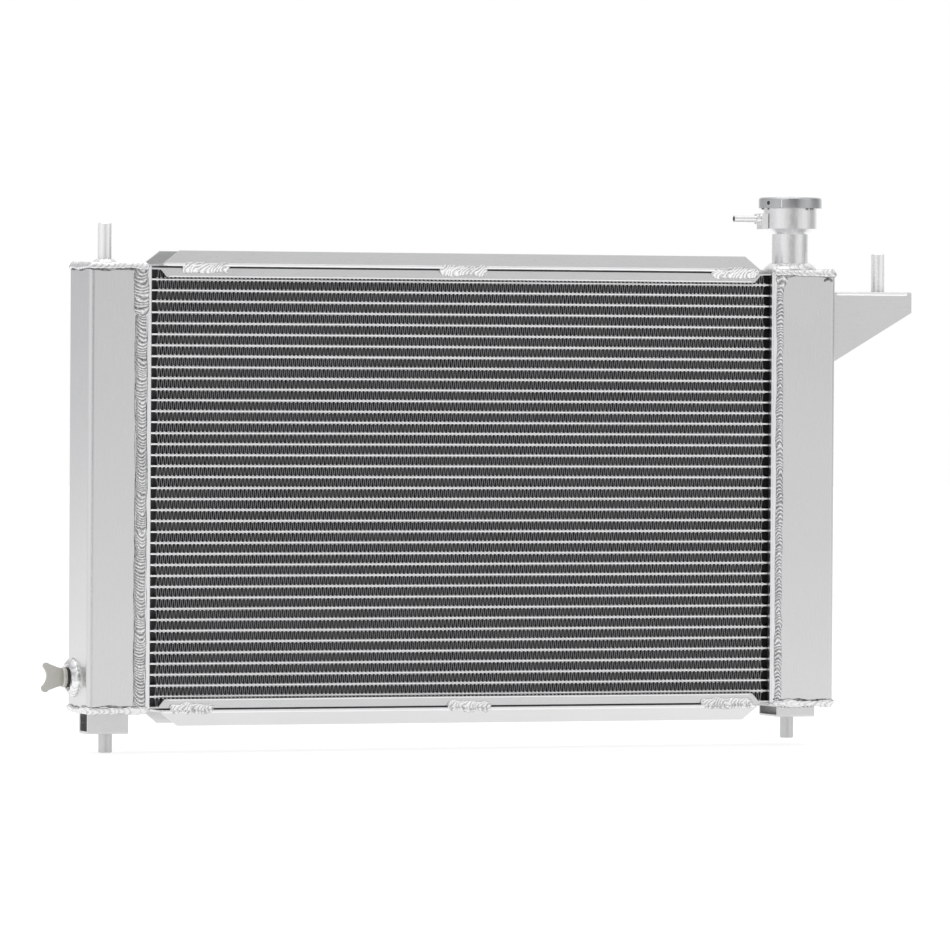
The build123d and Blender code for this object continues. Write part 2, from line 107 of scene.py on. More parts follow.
def metal(name, tone_a, tone_b, rough=(0.25, 0.42), grain=(1, 1, 1), grain_scale=900.0, bump=0.12,
          mottle=18.0, metallic=1.0, spots=0.0, spot_scale=260.0, distance=0.00006, depth_shade=None):
    """Metal with directional grain, slow tonal mottling, fine specks and optional painted shade towards mid depth.
    grain stretches the noise: a small number runs the grain along that axis."""
    m, nt, b = new_mat(name)
    b.inputs["Metallic"].default_value = metallic
    tc = nt.nodes.new("ShaderNodeTexCoord")
    mp = nt.nodes.new("ShaderNodeMapping")
    mp.inputs["Scale"].default_value = grain
    nt.links.new(tc.outputs["Object"], mp.inputs["Vector"])
    g = nt.nodes.new("ShaderNodeTexNoise")
    g.inputs["Scale"].default_value = grain_scale
    g.inputs["Detail"].default_value = 5.0
    g.inputs["Roughness"].default_value = 0.62
    nt.links.new(mp.outputs["Vector"], g.inputs["Vector"])
    s = nt.nodes.new("ShaderNodeTexNoise")
    s.inputs["Scale"].default_value = mottle
    s.inputs["Detail"].default_value = 4.0
    s.inputs["Distortion"].default_value = 0.6
    nt.links.new(tc.outputs["Object"], s.inputs["Vector"])
    mix = nt.nodes.new("ShaderNodeMix")
    mix.data_type = "RGBA"
    mix.inputs["A"].default_value = (*tone_a, 1)
    mix.inputs["B"].default_value = (*tone_b, 1)
    add = nt.nodes.new("ShaderNodeMath")
    add.operation = "MULTIPLY_ADD"
    add.inputs[1].default_value = 0.45
    nt.links.new(g.outputs["Fac"], add.inputs[0])
    sub = nt.nodes.new("ShaderNodeMath")
    sub.operation = "MULTIPLY"
    sub.inputs[1].default_value = 0.6
    nt.links.new(s.outputs["Fac"], sub.inputs[0])
    nt.links.new(sub.outputs[0], add.inputs[2])
    nt.links.new(add.outputs[0], mix.inputs["Factor"])
    colour = mix.outputs["Result"]
    if spots:
        v = nt.nodes.new("ShaderNodeTexVoronoi")
        v.inputs["Scale"].default_value = spot_scale
        nt.links.new(tc.outputs["Object"], v.inputs["Vector"])
        r = nt.nodes.new("ShaderNodeMapRange")
        r.inputs["From Min"].default_value = 0.05
        r.inputs["From Max"].default_value = 0.22
        r.inputs["To Min"].default_value = 1.0 - spots
        r.inputs["To Max"].default_value = 1.0
        nt.links.new(v.outputs["Distance"], r.inputs["Value"])
        mul = nt.nodes.new("ShaderNodeMix")
        mul.data_type = "RGBA"
        mul.blend_type = "MULTIPLY"
        mul.inputs["Factor"].default_value = 1.0
        nt.links.new(colour, mul.inputs["A"])
        nt.links.new(r.outputs["Result"], mul.inputs["B"])
        colour = mul.outputs["Result"]
    if depth_shade:
        # painted shade: base colour darker towards mid depth, standing for the shade deep inside the core between the
        # fins
        no_shade_depth, full_shade_depth, low = depth_shade
        sp = nt.nodes.new("ShaderNodeSeparateXYZ")
        nt.links.new(tc.outputs["Object"], sp.inputs[0])
        ab = nt.nodes.new("ShaderNodeMath")
        ab.operation = "ABSOLUTE"
        nt.links.new(sp.outputs["Y"], ab.inputs[0])
        dr = nt.nodes.new("ShaderNodeMapRange")
        dr.inputs["From Min"].default_value = full_shade_depth
        dr.inputs["From Max"].default_value = no_shade_depth
        dr.inputs["To Min"].default_value = low
        dr.inputs["To Max"].default_value = 1.0
        nt.links.new(ab.outputs[0], dr.inputs["Value"])
        mul2 = nt.nodes.new("ShaderNodeMix")
        mul2.data_type = "RGBA"
        mul2.blend_type = "MULTIPLY"
        mul2.inputs["Factor"].default_value = 1.0
        nt.links.new(colour, mul2.inputs["A"])
        nt.links.new(dr.outputs["Result"], mul2.inputs["B"])
        colour = mul2.outputs["Result"]
    nt.links.new(colour, b.inputs["Base Color"])
    rr = nt.nodes.new("ShaderNodeMapRange")
    rr.inputs["From Min"].default_value = 0.25
    rr.inputs["From Max"].default_value = 0.75
    rr.inputs["To Min"].default_value = rough[0]
    rr.inputs["To Max"].default_value = rough[1]
    nt.links.new(g.outputs["Fac"], rr.inputs["Value"])
    nt.links.new(rr.outputs["Result"], b.inputs["Roughness"])
    bp = nt.nodes.new("ShaderNodeBump")
    bp.inputs["Strength"].default_value = bump
    bp.inputs["Distance"].default_value = distance
    nt.links.new(g.outputs["Fac"], bp.inputs["Height"])
    nt.links.new(bp.outputs["Normal"], b.inputs["Normal"])
    return m


tank_metal = metal("tank_aluminium", (0.63, 0.632, 0.635), (0.73, 0.732, 0.735), rough=(0.20, 0.30),
                   grain=(1.0, 1.0, 0.02), grain_scale=1500.0, bump=0.07, mottle=7.0)
sheet_metal = metal("sheet_aluminium", (0.62, 0.622, 0.625), (0.72, 0.722, 0.725), rough=(0.24, 0.36),
                    grain=(0.03, 1.0, 1.0), grain_scale=1300.0, bump=0.08, mottle=12.0)
# painted shade: header and tube base colours darken towards mid depth, for the shade inside the core
header_metal = metal("header_aluminium", (0.78, 0.785, 0.795), (0.92, 0.925, 0.935), rough=(0.24, 0.38),
                     grain=(1.0, 1.0, 0.05), grain_scale=1200.0, bump=0.08, mottle=24.0, depth_shade=(0.0275, 0.0225, 0.03))
tube_metal = metal("tube_aluminium", (0.88, 0.882, 0.884), (1.0, 1.0, 1.0), rough=(0.30, 0.46),
                   grain=(0.3, 1.0, 1.0), grain_scale=900.0, bump=0.18, mottle=420.0, depth_shade=(0.0215, 0.0190, 0.10))
turned_metal = metal("turned_aluminium", (0.90, 0.902, 0.906), (0.95, 0.952, 0.955), rough=(0.34, 0.42),
                     grain=(1.0, 1.0, 1.0), grain_scale=900.0, bump=0.02, mottle=60.0)
# painted shade: a darker copy of the turned aluminium, used for the lower pins
shaded_pin_metal = metal("shaded_pin_aluminium", (0.56, 0.562, 0.566), (0.64, 0.642, 0.645), rough=(0.30, 0.40),
                      grain=(1.0, 1.0, 1.0), grain_scale=900.0, bump=0.02, mottle=60.0)
# painted light: a lighter copy of the sheet aluminium, used only on the bottom channel
lit_sheet_copy = metal("lit_sheet_aluminium_copy", (0.78, 0.782, 0.785), (0.88, 0.882, 0.885), rough=(0.26, 0.38),
                     grain=(0.03, 1.0, 1.0), grain_scale=1300.0, bump=0.08, mottle=12.0)
# painted highlight: a lighter copy of the sheet aluminium for the rounded outsides of folds
fold_highlight_metal = metal("fold_highlight_aluminium", (0.90, 0.902, 0.905), (0.97, 0.972, 0.975), rough=(0.30, 0.40),
                   grain=(0.05, 1.0, 1.0), grain_scale=1100.0, bump=0.04, mottle=20.0)
braze_metal = metal("braze_fillet", (0.72, 0.722, 0.725), (0.95, 0.952, 0.955), rough=(0.35, 0.48),
                    grain=(1.0, 1.0, 1.0), grain_scale=900.0, bump=0.06, mottle=300.0)
neck_metal = metal("neck_aluminium", (0.77, 0.772, 0.776), (0.90, 0.902, 0.906), rough=(0.18, 0.30),
                   grain=(1.0, 1.0, 0.25), grain_scale=500.0, bump=0.05, mottle=40.0)
zinc_metal = metal("zinc_plated", (0.50, 0.49, 0.455), (0.64, 0.63, 0.59), rough=(0.36, 0.55),
                   grain=(1, 1, 1), grain_scale=1100.0, bump=0.20, mottle=120.0, metallic=0.75,
                   spots=0.25, spot_scale=900.0)
plated_metal = metal("plated_steel", (0.60, 0.58, 0.50), (0.70, 0.68, 0.60), rough=(0.25, 0.40),
                     grain=(1, 1, 0.2), grain_scale=1200.0, bump=0.12, mottle=60.0)
spring_metal = metal("spring_wire", (0.38, 0.38, 0.40), (0.52, 0.52, 0.54), rough=(0.22, 0.38),
                     grain=(1, 1, 1), grain_scale=1600.0, bump=0.12, mottle=200.0)
brass_metal = metal("turned_brass", (0.74, 0.56, 0.26), (0.84, 0.68, 0.36), rough=(0.20, 0.34),
                    grain=(0.2, 0.2, 1.0), grain_scale=1500.0, bump=0.12, mottle=90.0)
cap_metal = metal("cap_stainless", (0.44, 0.445, 0.455), (0.56, 0.565, 0.575), rough=(0.20, 0.28),
                  grain=(1.0, 1.0, 0.12), grain_scale=1600.0, bump=0.04, mottle=40.0)
# painted shade: fin base colour darkens towards mid depth, for the shade inside the core
fin_metal = metal("fin_aluminium", (0.33, 0.333, 0.336), (0.52, 0.523, 0.528), rough=(0.42, 0.62),
                  grain=(1, 1, 0.3), grain_scale=700.0, bump=0.15, mottle=26.0, depth_shade=(0.0225, 0.0165, 0.06))
fin_edge_metal = metal("fin_edge_aluminium", (0.42, 0.422, 0.426), (0.62, 0.622, 0.628), rough=(0.35, 0.5),
                       grain=(1, 1, 1), grain_scale=900.0, bump=0.10, mottle=60.0)


def weld_material(name, lo=(0.20, 0.203, 0.21), hi=(0.93, 0.932, 0.935), p0=0.20, p1=0.62):
    """Bright bead: base colour painted darker in the valleys between ripples and towards the toes (painted shade),
    glossier on the crests.
    """
    m, nt, b = new_mat(name)
    b.inputs["Metallic"].default_value = 1.0
    at = nt.nodes.new("ShaderNodeAttribute")
    at.attribute_name = "ripple"
    tc = nt.nodes.new("ShaderNodeTexCoord")
    n = nt.nodes.new("ShaderNodeTexNoise")
    n.inputs["Scale"].default_value = 620.0
    n.inputs["Detail"].default_value = 6.0
    nt.links.new(tc.outputs["Object"], n.inputs["Vector"])
    a = nt.nodes.new("ShaderNodeMath")
    a.operation = "MULTIPLY_ADD"
    a.inputs[1].default_value = 0.70
    nt.links.new(n.outputs["Fac"], a.inputs[0])
    h = nt.nodes.new("ShaderNodeMath")
    h.operation = "MULTIPLY"
    h.inputs[1].default_value = 0.5
    nt.links.new(at.outputs["Fac"], h.inputs[0])
    nt.links.new(h.outputs[0], a.inputs[2])
    ramp = nt.nodes.new("ShaderNodeValToRGB")
    ramp.color_ramp.elements[0].position = p0
    ramp.color_ramp.elements[0].color = (*lo, 1)
    ramp.color_ramp.elements[1].position = p1
    ramp.color_ramp.elements[1].color = (*hi, 1)
    nt.links.new(a.outputs[0], ramp.inputs["Fac"])
    nt.links.new(ramp.outputs["Color"], b.inputs["Base Color"])
    r = nt.nodes.new("ShaderNodeMapRange")
    r.inputs["From Min"].default_value = 0.2
    r.inputs["From Max"].default_value = 0.9
    r.inputs["To Min"].default_value = 0.42
    r.inputs["To Max"].default_value = 0.20
    nt.links.new(a.outputs[0], r.inputs["Value"])
    nt.links.new(r.outputs["Result"], b.inputs["Roughness"])
    bp = nt.nodes.new("ShaderNodeBump")
    bp.inputs["Strength"].default_value = 0.35
    bp.inputs["Distance"].default_value = 0.00015
    nt.links.new(n.outputs["Fac"], bp.inputs["Height"])
    nt.links.new(bp.outputs["Normal"], b.inputs["Normal"])
    return m


# weld colours: lo is the painted shade in the ripple valleys and at the toes
weld_metal = weld_material("weld_bead", lo=(0.15, 0.152, 0.156), hi=(0.82, 0.822, 0.825), p0=0.27, p1=0.86)
stitch_metal = weld_material("stitch_bead", lo=(0.40, 0.402, 0.406), hi=(0.88, 0.882, 0.886), p0=0.24, p1=0.70)
cap_weld_metal = weld_material("cap_weld_bead", lo=(0.40, 0.402, 0.408), hi=(0.84, 0.842, 0.845), p0=0.14, p1=0.60)


def rubber_material(name):
    m, nt, b = new_mat(name)
    tc = nt.nodes.new("ShaderNodeTexCoord")
    n = nt.nodes.new("ShaderNodeTexNoise")
    n.inputs["Scale"].default_value = 700.0
    n.inputs["Detail"].default_value = 5.0
    nt.links.new(tc.outputs["Object"], n.inputs["Vector"])
    ramp = nt.nodes.new("ShaderNodeValToRGB")
    ramp.color_ramp.elements[0].color = (0.008, 0.008, 0.009, 1)
    ramp.color_ramp.elements[1].color = (0.030, 0.030, 0.032, 1)
    nt.links.new(n.outputs["Fac"], ramp.inputs["Fac"])
    nt.links.new(ramp.outputs["Color"], b.inputs["Base Color"])
    r = nt.nodes.new("ShaderNodeMapRange")
    r.inputs["To Min"].default_value = 0.45
    r.inputs["To Max"].default_value = 0.62
    nt.links.new(n.outputs["Fac"], r.inputs["Value"])
    nt.links.new(r.outputs["Result"], b.inputs["Roughness"])
    bp = nt.nodes.new("ShaderNodeBump")
    bp.inputs["Strength"].default_value = 0.2
    bp.inputs["Distance"].default_value = 0.00008
    nt.links.new(n.outputs["Fac"], bp.inputs["Height"])
    nt.links.new(bp.outputs["Normal"], b.inputs["Normal"])
    return m


black_rubber = rubber_material("black_rubber")


def painted_shadow_material(name):
    """Painted shadow: dark line where a bead's toe shadows the sheet; the same dark colour is laid in other shaded
    spots.
    """
    m, nt, b = new_mat(name)
    b.inputs["Metallic"].default_value = 0.6
    tc = nt.nodes.new("ShaderNodeTexCoord")
    n = nt.nodes.new("ShaderNodeTexNoise")
    n.inputs["Scale"].default_value = 260.0
    n.inputs["Detail"].default_value = 4.0
    nt.links.new(tc.outputs["Object"], n.inputs["Vector"])
    ramp = nt.nodes.new("ShaderNodeValToRGB")
    ramp.color_ramp.elements[0].position = 0.35
    ramp.color_ramp.elements[0].color = (0.05, 0.05, 0.055, 1)
    ramp.color_ramp.elements[1].position = 0.68
    ramp.color_ramp.elements[1].color = (0.42, 0.42, 0.425, 1)
    nt.links.new(n.outputs["Fac"], ramp.inputs["Fac"])
    nt.links.new(ramp.outputs["Color"], b.inputs["Base Color"])
    r = nt.nodes.new("ShaderNodeMapRange")
    r.inputs["To Min"].default_value = 0.5
    r.inputs["To Max"].default_value = 0.7
    nt.links.new(n.outputs["Fac"], r.inputs["Value"])
    nt.links.new(r.outputs["Result"], b.inputs["Roughness"])
    bp = nt.nodes.new("ShaderNodeBump")
    bp.inputs["Strength"].default_value = 0.3
    bp.inputs["Distance"].default_value = 0.0001
    nt.links.new(n.outputs["Fac"], bp.inputs["Height"])
    nt.links.new(bp.outputs["Normal"], b.inputs["Normal"])
    return m


painted_shadow = painted_shadow_material("painted_weld_shadow")


def assign(node, mat):
    o = nodes[node]
    o.data.materials.clear()
    o.data.materials.append(mat)
    for p in o.data.polygons:
        p.material_index = 0


# --------------------------------------------------------------------------
# Mesh helpers
# --------------------------------------------------------------------------
def mesh_object(name, verts, faces, mats, smooth=True, face_mats=None, ripple_shade_and_tone=None, sharp=None):
    me = bpy.data.meshes.new(name)
    me.from_pydata([tuple(map(float, v)) for v in verts], [], [tuple(f) for f in faces])
    me.update()
    for m in mats:
        me.materials.append(m)
    if face_mats is not None:
        me.polygons.foreach_set("material_index", np.asarray(face_mats, np.int32))
    me.polygons.foreach_set("use_smooth", np.full(len(me.polygons), bool(smooth)))
    if ripple_shade_and_tone is not None:
        a = me.attributes.new("ripple", "FLOAT", "POINT")
        a.data.foreach_set("value", np.asarray(ripple_shade_and_tone, np.float32))
    if sharp is not None:
        me.set_sharp_from_angle(angle=math.radians(sharp))
    me.update()
    o = bpy.data.objects.new(name, me)
    scene.collection.objects.link(o)
    return o


def smooth_noise(n, step, length, rng):
    """Random wave with values in -1..1, sampled every step metres, with features about length long."""
    k = max(4, int(n * step / length) + 4)
    knots = rng.uniform(-1, 1, k)
    x = np.linspace(0, k - 1.001, n)
    i = np.floor(x).astype(int)
    f = x - i
    f = f * f * (3 - 2 * f)
    return knots[i] * (1 - f) + knots[np.minimum(i + 1, k - 1)] * f


def resample(pts, step, closed):
    pts = np.asarray(pts, float)
    if closed:
        pts = np.vstack([pts, pts[:1]])
    seg = np.linalg.norm(np.diff(pts, axis=0), axis=1)
    cum = np.concatenate([[0], np.cumsum(seg)])
    total = cum[-1]
    n = max(4, int(round(total / step)))
    s = np.linspace(0, total, n + 1)
    if closed:
        s = s[:-1]
    out = np.stack([np.interp(s, cum, pts[:, k]) for k in range(3)], 1)
    return out, s, total, cum


def bead(name, pts, normals, width, height, pitch=0.004, ripple=0.00028, seed=1, closed=False,
         lag=0.5, wander=0.0004, rough=0.08, body="root", sink=0.0004, cross=13, ends=True,
         width_noise=0.07, mats=None, crown=0.55, skew=0.0, vary=0.2, mess=0.0):
    """Welded bead: overlapping crescents along a path. pts and normals in metres."""
    rng = np.random.RandomState(seed)
    step = pitch / 7.0
    c, s, total, cum = resample(pts, step, closed)
    nn = np.asarray(normals, float)
    if closed:
        nn = np.vstack([nn, nn[:1]])
    N = np.stack([np.interp(s, cum, nn[:, k]) for k in range(3)], 1)
    n = len(c)
    if closed:
        T = np.roll(c, -1, 0) - np.roll(c, 1, 0)
    else:
        T = np.gradient(c, axis=0)
    T /= np.linalg.norm(T, axis=1, keepdims=True)
    N -= (N * T).sum(1, keepdims=True) * T
    N /= np.linalg.norm(N, axis=1, keepdims=True)
    B = np.cross(T, N)
    # each crescent has its own length, width and height
    per = rng.uniform(1 - vary, 1 + vary, int(total / pitch) + 8)
    count = max(1, round(total / pitch))
    edges = np.concatenate([[0], np.cumsum(per[:count])])
    edges *= total / edges[-1]
    phase_at = lambda d: np.interp(d, edges, np.arange(count + 1))
    half = width / 2 * (1 + width_noise * smooth_noise(n, step, 0.010, rng) + 0.03 * smooth_noise(n, step, 0.003, rng))
    mid = wander * smooth_noise(n, step, 0.016, rng)
    tall = height * (1 + 0.16 * smooth_noise(n, step, 0.009, rng))
    if ends and not closed:
        fade = np.clip(np.minimum(s, total - s) / (width * 0.45), 0, 1)
        fade = np.sqrt(1 - (1 - fade) ** 2)
        half = half * (0.25 + 0.75 * fade)
        tall = tall * (0.25 + 0.75 * fade)
    t = np.linspace(-1, 1, cross)
    S, TT = np.meshgrid(s, t, indexing="ij")
    ph = phase_at(np.clip(S, 0, total)) + lag * (1 - TT ** 2) * (
        1 + mess * smooth_noise(n, step, 0.011, rng)[:, None]) + skew * TT + (
        mess * smooth_noise(n, step, 0.008, rng)[:, None] * TT + 0.5 * mess * smooth_noise(n, step, 0.005, rng)[:, None])
    fr = ph - np.floor(ph)
    rip = 0.5 - 0.5 * np.cos(2 * math.pi * (fr ** 0.8))
    dome = np.clip(1 - TT ** 2, 0, 1) ** crown
    scallop = 1 + 0.05 * (rip - 0.5) * np.abs(TT) ** 2
    grainy = rng.uniform(-1, 1, S.shape)
    hgt = tall[:, None] * dome + ripple * (rip - 0.5) * (1 - TT ** 4) + rough * ripple * grainy * (1 - TT ** 2)
    hgt[:, 0] = -sink
    hgt[:, -1] = -sink
    off = mid[:, None] + half[:, None] * TT * scallop
    V = c[:, None, :] + B[:, None, :] * off[..., None] + N[:, None, :] * hgt[..., None]
    verts = V.reshape(-1, 3)
    # painted shade: the colour mask dips in the ripple valleys and fades towards both toes as a painted shadow line;
    # blotch is random tone
    blotch = smooth_noise(n, step, 0.012, rng)[:, None] * 0.12
    ripple_shade_and_tone = np.clip((rip + blotch) * (1 - 0.85 * np.abs(TT) ** 6), 0, 1).reshape(-1)
    faces = []
    rows = n if closed else n - 1
    for i in range(rows):
        a, b2 = i * cross, ((i + 1) % n) * cross
        for j in range(cross - 1):
            faces.append((a + j, b2 + j, b2 + j + 1, a + j + 1))
        faces.append((a + cross - 1, b2 + cross - 1, b2, a))
    if not closed:
        faces.append(tuple(range(cross)))
        faces.append(tuple((n - 1) * cross + j for j in range(cross - 1, -1, -1)))
    # face direction: top faces must look along +N
    f0 = faces[0]
    p = verts[list(f0)]
    nrm = np.cross(p[1] - p[0], p[2] - p[0])
    if np.dot(nrm, N[0]) < 0:
        faces = [tuple(reversed(f)) for f in faces]
    o = mesh_object(name, verts, faces, mats or [weld_metal], smooth=True, ripple_shade_and_tone=ripple_shade_and_tone)
    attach(o, body)
    return o


def arc3(centre, r, a0, a1, n, u, v):
    """Points on an arc about centre in the plane of unit vectors u and v."""
    ang = np.linspace(a0, a1, n)
    return centre + r * (np.cos(ang)[:, None] * u + np.sin(ang)[:, None] * v)


def ring_bead(name, centre, axis, r, leg, seed, pitch=0.0035, ripple=0.00022, lean=0.7, r_noise=0.0, **kw):
    """Fillet bead round a rod or tube of radius r that stands on a plate; axis points away from the plate."""
    rng = np.random.RandomState(seed + 100)
    axis = np.asarray(axis, float)
    ref = np.array([0, 0, 1.0]) if abs(axis[2]) < 0.9 else np.array([0, -1.0, 0])
    u = np.cross(ref, axis)
    u /= np.linalg.norm(u)
    v = np.cross(axis, u)
    n = 72
    ang = np.linspace(0, 2 * math.pi, n, endpoint=False)
    wob = np.zeros(n)
    for k in (2, 3, 5):
        wob += r_noise / k * np.cos(k * ang + rng.uniform(0, 6.28))
    radial = np.cos(ang)[:, None] * u + np.sin(ang)[:, None] * v
    pts = centre + radial * (r + leg * 0.42 + wob[:, None]) + axis * (leg * 0.40)
    nor = radial * lean + axis * (1 - lean * 0.3)
    return bead(name, pts, nor, leg * 1.55, leg * 0.28, pitch=pitch, ripple=ripple, seed=seed, closed=True,
                sink=leg * 0.5, **kw)


def lathe(name, profile, centre, axis, mats, segs=128, ref=(0, -1, 0), bevel=0.0, body="root", smooth=True,
          closed_profile=True, sharp=35):
    """Closed solid of revolution; profile is (radius, height) in metres along axis."""
    axis = np.asarray(axis, float)
    u = np.cross(np.asarray(ref, float), axis)
    u /= np.linalg.norm(u)
    v = np.cross(axis, u)
    verts, faces = [], []
    idx = []
    ang = np.linspace(0, 2 * math.pi, segs, endpoint=False)
    for (r, h) in profile:
        if r < 1e-7:
            idx.append([len(verts)] * segs)
            verts.append(centre + axis * h)
        else:
            idx.append(list(range(len(verts), len(verts) + segs)))
            for a in ang:
                verts.append(centre + (math.cos(a) * u + math.sin(a) * v) * r + axis * h)
    m = len(profile)
    for i in range(m if closed_profile else m - 1):
        A, B = idx[i], idx[(i + 1) % m]
        if profile[i][0] < 1e-7 and profile[(i + 1) % m][0] < 1e-7:
            continue
        for k in range(segs):
            k2 = (k + 1) % segs
            q = [A[k], A[k2], B[k2], B[k]]
            f = []
            for w in q:
                if w not in f:
                    f.append(w)
            if len(f) > 2:
                faces.append(tuple(f))
    o = mesh_object(name, verts, faces, mats, smooth=smooth)
    fix_normals(o)
    o.data.set_sharp_from_angle(angle=math.radians(sharp))
    if bevel:
        add_bevel(o, bevel)
    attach(o, body)
    return o


def fix_normals(o):
    import bmesh
    bm = bmesh.new()
    bm.from_mesh(o.data)
    bmesh.ops.remove_doubles(bm, verts=bm.verts, dist=1e-7)
    bmesh.ops.recalc_face_normals(bm, faces=bm.faces)
    bm.to_mesh(o.data)
    bm.free()
    o.data.update()


def add_bevel(o, width, segments=2, angle=35):
    b = o.modifiers.new("edge", "BEVEL")
    b.width = width
    b.segments = segments
    b.limit_method = "ANGLE"
    b.angle_limit = math.radians(angle)
    b.harden_normals = False
    return o


def soften_cad(node, width=0.0003, segments=2, angle=40):
    """Small rounded edges on a CAD node, by modifiers only."""
    o = nodes[node]
    w = o.modifiers.new("weld", "WELD")
    w.merge_threshold = 1e-6
    add_bevel(o, width, segments, angle)
    return o


# --------------------------------------------------------------------------
# CAD nodes that stay: materials and softened edges
# --------------------------------------------------------------------------
for n in ("front_row_tubes", "rear_row_tubes"):
    assign(n, tube_metal)
for n in ("left_header", "right_header"):
    assign(n, header_metal)
for n in ("top_side_plate", "bottom_side_plate", "top_shroud_channel", "bottom_shroud_channel",
          "right_mount_bracket", "lower_left_foot", "lower_right_foot"):
    assign(n, sheet_metal)
for n in ("left_tank", "right_tank", "left_tank_top_cap", "left_tank_bottom_cap",
          "right_tank_top_cap", "right_tank_bottom_cap"):
    assign(n, tank_metal)
for n in ("upper_left_pin", "upper_right_pin"):
    assign(n, turned_metal)
for n in ("lower_left_pin", "lower_right_pin"):
    assign(n, shaded_pin_metal)
assign("bottom_shroud_channel", lit_sheet_copy)
for n in ("inlet_neck", "outlet_neck", "filler_tube", "filler_neck", "overflow_nipple", "drain_bung"):
    assign(n, neck_metal)
for n in ("drain_seal", "cap_gasket", "pressure_seal"):
    assign(n, black_rubber)
for n in ("cap_diaphragm", "cap_bell", "pressure_plate"):
    assign(n, plated_metal)
for n in ("pressure_spring", "vacuum_spring"):
    assign(n, spring_metal)
for n in ("cap_shell", "cap_rivet"):
    assign(n, cap_metal)
assign("vacuum_valve", brass_metal)
assign("drain_plug", zinc_metal)
assign("channel_stitch_welds", weld_metal)
assign("cooling_fins", fin_metal)
for n in ("top_side_plate", "bottom_side_plate", "top_shroud_channel", "bottom_shroud_channel",
          "right_mount_bracket", "lower_left_foot", "lower_right_foot"):
    soften_cad(n, 0.00035)
for n in ("left_tank_top_cap", "left_tank_bottom_cap", "right_tank_top_cap", "right_tank_bottom_cap"):
    soften_cad(n, 0.0005)
soften_cad("drain_plug", 0.0006, 3)

# --------------------------------------------------------------------------
# Fins: 40 folded strips, one fold every 1.94 mm
# --------------------------------------------------------------------------
FOLDS = 308
X0, X1 = -301.0, 297.5


def make_fins():
    rng = np.random.RandomState(7)
    verts, faces, fm = [], [], []
    th = 0.00012                      # half the sheet's thickness, as drawn
    depth = [(-0.0230, 0.0), (0.0, 0.0011), (0.0230, 0.0)]
    run = (X1 - X0) / FOLDS * 0.001
    for row in range(40):
        zc = (row - 19.5) * 10.0
        xs, zs = [], []
        jit = rng.uniform(-0.10, 0.10, FOLDS + 1) + 0.35 * np.sin(np.linspace(0, 9, FOLDS + 1) + rng.uniform(0, 6))
        sgn0 = 1 if row % 2 else -1
        for k in range(FOLDS + 1):
            x = X0 + (X1 - X0) * k / FOLDS + (jit[k] if 0 < k < FOLDS else 0)
            sgn = sgn0 * (1 if k % 2 else -1)
            hz = 3.93 - th * 1000
            wd = 0.58
            if k > 0:
                xs.append(x - wd)
                zs.append(zc + sgn * hz)
            if k < FOLDS:
                xs.append(x + wd)
                zs.append(zc + sgn * hz)
        xs, zs = np.array(xs) * 0.001, np.array(zs) * 0.001
        d = np.stack([np.gradient(xs), np.gradient(zs)], 1)
        # mitred offset of the polyline
        seg = np.stack([np.diff(xs), np.diff(zs)], 1)
        seg /= np.linalg.norm(seg, axis=1, keepdims=True)
        nrm = np.stack([-seg[:, 1], seg[:, 0]], 1)
        n0 = np.vstack([nrm[:1], nrm])
        n1 = np.vstack([nrm, nrm[-1:]])
        m = n0 + n1
        m /= np.linalg.norm(m, axis=1, keepdims=True)
        k = th / np.clip((m * n0).sum(1), 0.45, 1)
        off = m * k[:, None]
        base = len(verts)
        n = len(xs)
        for (y, dx) in depth:
            for s in (1, -1):
                X = xs + s * off[:, 0] + dx
                Z = zs + s * off[:, 1]
                for i in range(n):
                    verts.append((CX + X[i], y, CZ + Z[i]))
        def vid(layer, side, i):
            return base + (layer * 2 + side) * n + i
        for i in range(n - 1):
            for l in range(len(depth) - 1):
                faces.append((vid(l, 0, i), vid(l, 0, i + 1), vid(l + 1, 0, i + 1), vid(l + 1, 0, i)))
                faces.append((vid(l, 1, i + 1), vid(l, 1, i), vid(l + 1, 1, i), vid(l + 1, 1, i + 1)))
                fm += [0, 0]
            faces.append((vid(0, 1, i), vid(0, 1, i + 1), vid(0, 0, i + 1), vid(0, 0, i)))
            L = len(depth) - 1
            faces.append((vid(L, 0, i), vid(L, 0, i + 1), vid(L, 1, i + 1), vid(L, 1, i)))
            fm += [1, 1]
        # bright fillet of filler metal where each fold meets its tube
        for k in range(FOLDS + 1):
            x = X0 + (X1 - X0) * k / FOLDS + (jit[k] if 0 < k < FOLDS else 0)
            sgn = sgn0 * (1 if k % 2 else -1)
            for face in (-1, 1):
                b0 = len(verts)
                for (dx, dz) in ((-0.98, 3.94), (0.98, 3.94), (0.62, 3.34), (-0.62, 3.34)):
                    for y in (23.06, 21.6):
                        verts.append((CX + (x + dx) * 0.001, face * y * 0.001, CZ + (zc + sgn * dz) * 0.001))
                quad = (b0, b0 + 2, b0 + 4, b0 + 6)
                faces.append(quad if face * sgn > 0 else quad[::-1])
                for e in range(1, 4):
                    f2 = (b0 + 2 * e, b0 + 2 * ((e + 1) % 4), b0 + 2 * ((e + 1) % 4) + 1, b0 + 2 * e + 1)
                    faces.append(f2[::-1] if face * sgn > 0 else f2)
                fm += [2, 2, 2, 2]
        for l in range(len(depth) - 1):
            faces.append((vid(l, 0, 0), vid(l + 1, 0, 0), vid(l + 1, 1, 0), vid(l, 1, 0)))
            e = n - 1
            faces.append((vid(l, 1, e), vid(l + 1, 1, e), vid(l + 1, 0, e), vid(l, 0, e)))
            fm += [1, 1]
    o = mesh_object("fin_rows", verts, faces, [fin_metal, fin_edge_metal, braze_metal], smooth=False,
                    face_mats=fm)
    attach(o, "root")
    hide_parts("cooling_fins")
    return o


make_fins()

